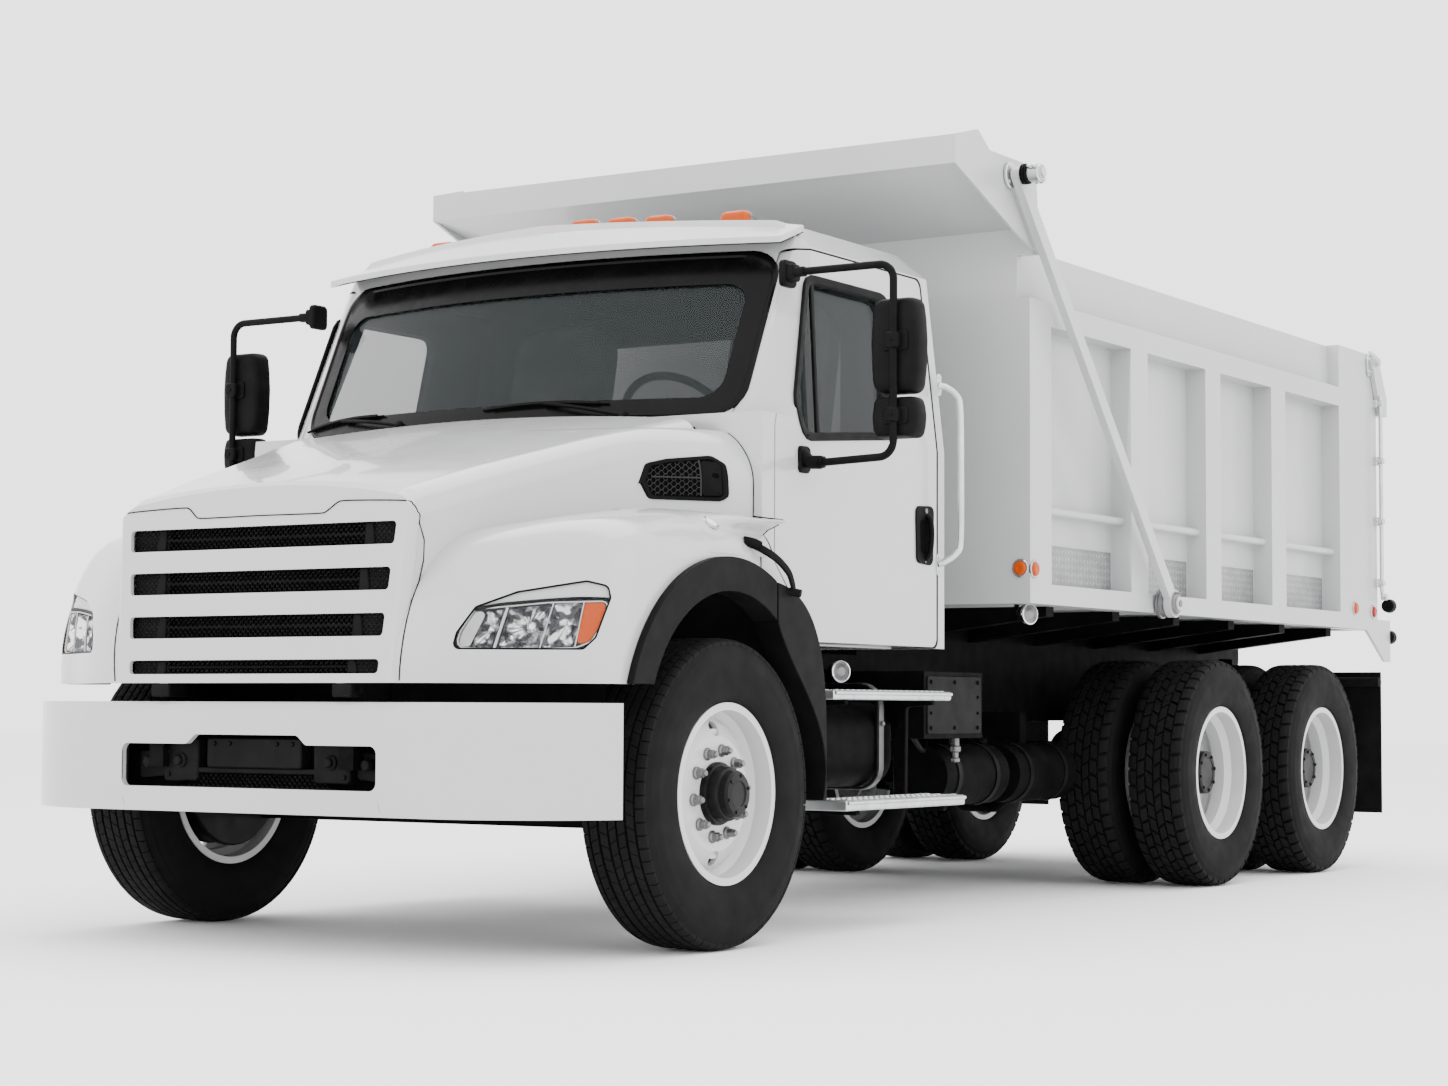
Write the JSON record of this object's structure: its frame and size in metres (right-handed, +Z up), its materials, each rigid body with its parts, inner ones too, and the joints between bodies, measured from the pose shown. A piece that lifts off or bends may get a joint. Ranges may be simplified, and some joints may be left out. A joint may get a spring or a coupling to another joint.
{
  "type": "dump truck",
  "caption": "Conventional-cab dump truck with steered front wheels, tandem twin rear wheels, tilting hood, opening doors and a tipping body with cab guard and tailgate.",
  "frame": {"origin": "on the ground under the middle of the truck's length and width", "axes": "+X towards the front bumper, +Y to the driver's left, +Z up"},
  "size_m": [7.538, 3.1616, 3.0069],
  "materials": {
    "cab_paint": "glossy white paint",
    "body_paint": "satin white paint",
    "chassis_black": "black chassis paint",
    "black_plastic": "textured black plastic",
    "rubber": "matt black rubber",
    "tyre": "black tyre rubber",
    "rim_paint": "white wheel paint",
    "glass": "tinted glass",
    "lens": "clear lamp lens",
    "amber_lens": "amber lamp lens",
    "seat_cloth": "dark woven cloth",
    "step_alloy": "tread plate",
    "rod_chrome": "hard chrome"
  },
  "bodies": {
    "chassis": {"frame": "chassis_black", "front_bumper": "cab_paint", "powertrain": "chassis_black", "radiator": "chassis_black", "front_axle": "chassis_black", "front_springs": "chassis_black", "rear_axles": "chassis_black", "rear_suspension": "chassis_black", "subframe": "chassis_black", "cab_shell": "cab_paint", "cab_glass": "glass", "cowl": "black_plastic", "seats": "seat_cloth", "dashboard": "black_plastic", "steering_wheel": "black_plastic", "roof_visor": "cab_paint", "roof_lamps": "amber_lens", "cab_flares": "black_plastic", "arch_liners": "black_plastic", "cab_steps": "step_alloy", "fuel_tanks": "chassis_black", "panel_box": "chassis_black", "air_tanks": "chassis_black", "mud_flaps": "rubber"},
    "hood": {"hood_shell": "cab_paint", "grille_screen": "black_plastic", "headlamps": "lens", "hood_flares": "black_plastic"},
    "bed": {"bed_body": "body_paint", "bed_sills": "chassis_black", "body_lamps": "amber_lens"},
    "tailgate": {"tailgate": "body_paint"},
    "hoist_barrel": {"hoist_barrel": "chassis_black"},
    "hoist_rod": {"hoist_rod": "rod_chrome"},
    "tie_rod": {"tie_rod": "chassis_black"},
    "knuckle_left": {"knuckle_left": "chassis_black"},
    "wheel_front_left": {"tyre_front_left": "tyre", "rim_front_left": "rim_paint"},
    "door_left": {"door_left": "cab_paint", "door_glass_left": "glass", "mirror_left": "black_plastic"},
    "tarp_arm_left": {"tarp_arm_left": "body_paint"},
    "wheels_first_left": {"tyres_first_left": "tyre", "rims_first_left": "rim_paint"},
    "wheels_second_left": {"tyres_second_left": "tyre", "rims_second_left": "rim_paint"},
    "knuckle_right": {"knuckle_right": "chassis_black"},
    "wheel_front_right": {"tyre_front_right": "tyre", "rim_front_right": "rim_paint"},
    "door_right": {"door_right": "cab_paint", "door_glass_right": "glass", "mirror_right": "black_plastic"},
    "tarp_arm_right": {"tarp_arm_right": "body_paint"},
    "wheels_first_right": {"tyres_first_right": "tyre", "rims_first_right": "rim_paint"},
    "wheels_second_right": {"tyres_second_right": "tyre", "rims_second_right": "rim_paint"}
  },
  "joints": [
    {"name": "steer_left", "type": "hinge", "parent": "chassis", "child": "knuckle_left", "pos_m": [2.763, 0.96, 0.51], "axis": [0, 0, 1], "range_deg": [-32, 32]},
    {"name": "spin_front_left", "type": "hinge", "parent": "knuckle_left", "child": "wheel_front_left", "pos_m": [2.763, 1.075, 0.51], "axis": [0, 1, 0], "continuous": true},
    {"name": "spin_first_left", "type": "hinge", "parent": "chassis", "child": "wheels_first_left", "pos_m": [-1.394, 0.9295, 0.51], "axis": [0, 1, 0], "continuous": true},
    {"name": "spin_second_left", "type": "hinge", "parent": "chassis", "child": "wheels_second_left", "pos_m": [-2.694, 0.9295, 0.51], "axis": [0, 1, 0], "continuous": true},
    {"name": "open_door_left", "type": "hinge", "parent": "chassis", "child": "door_left", "pos_m": [2.375, 1.152, 1.022], "axis": [0, 0, -1], "range_deg": [0, 70]},
    {"name": "swing_tarp_arm_left", "type": "hinge", "parent": "bed", "child": "tarp_arm_left", "pos_m": [-0.687, 1.268, 1.25], "axis": [0, -1, 0], "range_deg": [0, 110]},
    {"name": "steer_right", "type": "hinge", "parent": "chassis", "child": "knuckle_right", "pos_m": [2.763, -0.96, 0.51], "axis": [0, 0, 1], "range_deg": [-32, 32]},
    {"name": "spin_front_right", "type": "hinge", "parent": "knuckle_right", "child": "wheel_front_right", "pos_m": [2.763, -1.075, 0.51], "axis": [0, 1, 0], "continuous": true},
    {"name": "spin_first_right", "type": "hinge", "parent": "chassis", "child": "wheels_first_right", "pos_m": [-1.394, -0.9295, 0.51], "axis": [0, 1, 0], "continuous": true},
    {"name": "spin_second_right", "type": "hinge", "parent": "chassis", "child": "wheels_second_right", "pos_m": [-2.694, -0.9295, 0.51], "axis": [0, 1, 0], "continuous": true},
    {"name": "open_door_right", "type": "hinge", "parent": "chassis", "child": "door_right", "pos_m": [2.375, -1.152, 1.022], "axis": [0, 0, 1], "range_deg": [0, 70]},
    {"name": "swing_tarp_arm_right", "type": "hinge", "parent": "bed", "child": "tarp_arm_right", "pos_m": [-0.687, -1.268, 1.25], "axis": [0, -1, 0], "range_deg": [0, 110]},
    {"name": "turn_tie_rod", "type": "hinge", "parent": "knuckle_left", "child": "tie_rod", "pos_m": [2.593, 0.96, 0.4], "axis": [0, 0, 1], "range_deg": [-32, 32]},
    {"name": "tilt_hood", "type": "hinge", "parent": "chassis", "child": "hood", "pos_m": [3.723, 0, 0.85], "axis": [0, 1, 0], "range_deg": [0, 70]},
    {"name": "tip_bed", "type": "hinge", "parent": "chassis", "child": "bed", "pos_m": [-3.527, 0, 1.06], "axis": [0, -1, 0], "range_deg": [0, 45]},
    {"name": "swing_tailgate", "type": "hinge", "parent": "bed", "child": "tailgate", "pos_m": [-3.453, 0, 2.6], "axis": [0, 1, 0], "range_deg": [0, 70]},
    {"name": "tilt_hoist", "type": "hinge", "parent": "chassis", "child": "hoist_barrel", "pos_m": [-2.137, 0, 0.79], "axis": [0, -1, 0], "range_deg": [0, 64.44]},
    {"name": "extend_hoist", "type": "slide", "parent": "hoist_barrel", "child": "hoist_rod", "axis": [0.9637, 0, 0.2668], "range_m": [0, 0.9412]}
  ],
  "couplings": [
    {"joint": "steer_right", "follows": "steer_left", "ratio": 1},
    {"joint": "turn_tie_rod", "follows": "steer_left", "ratio": -1},
    {"joint": "tilt_hoist", "follows": "tip_bed", "ratio": 1.4209},
    {"joint": "extend_hoist", "follows": "tip_bed", "m_per_rad": 1.192}
  ]
}
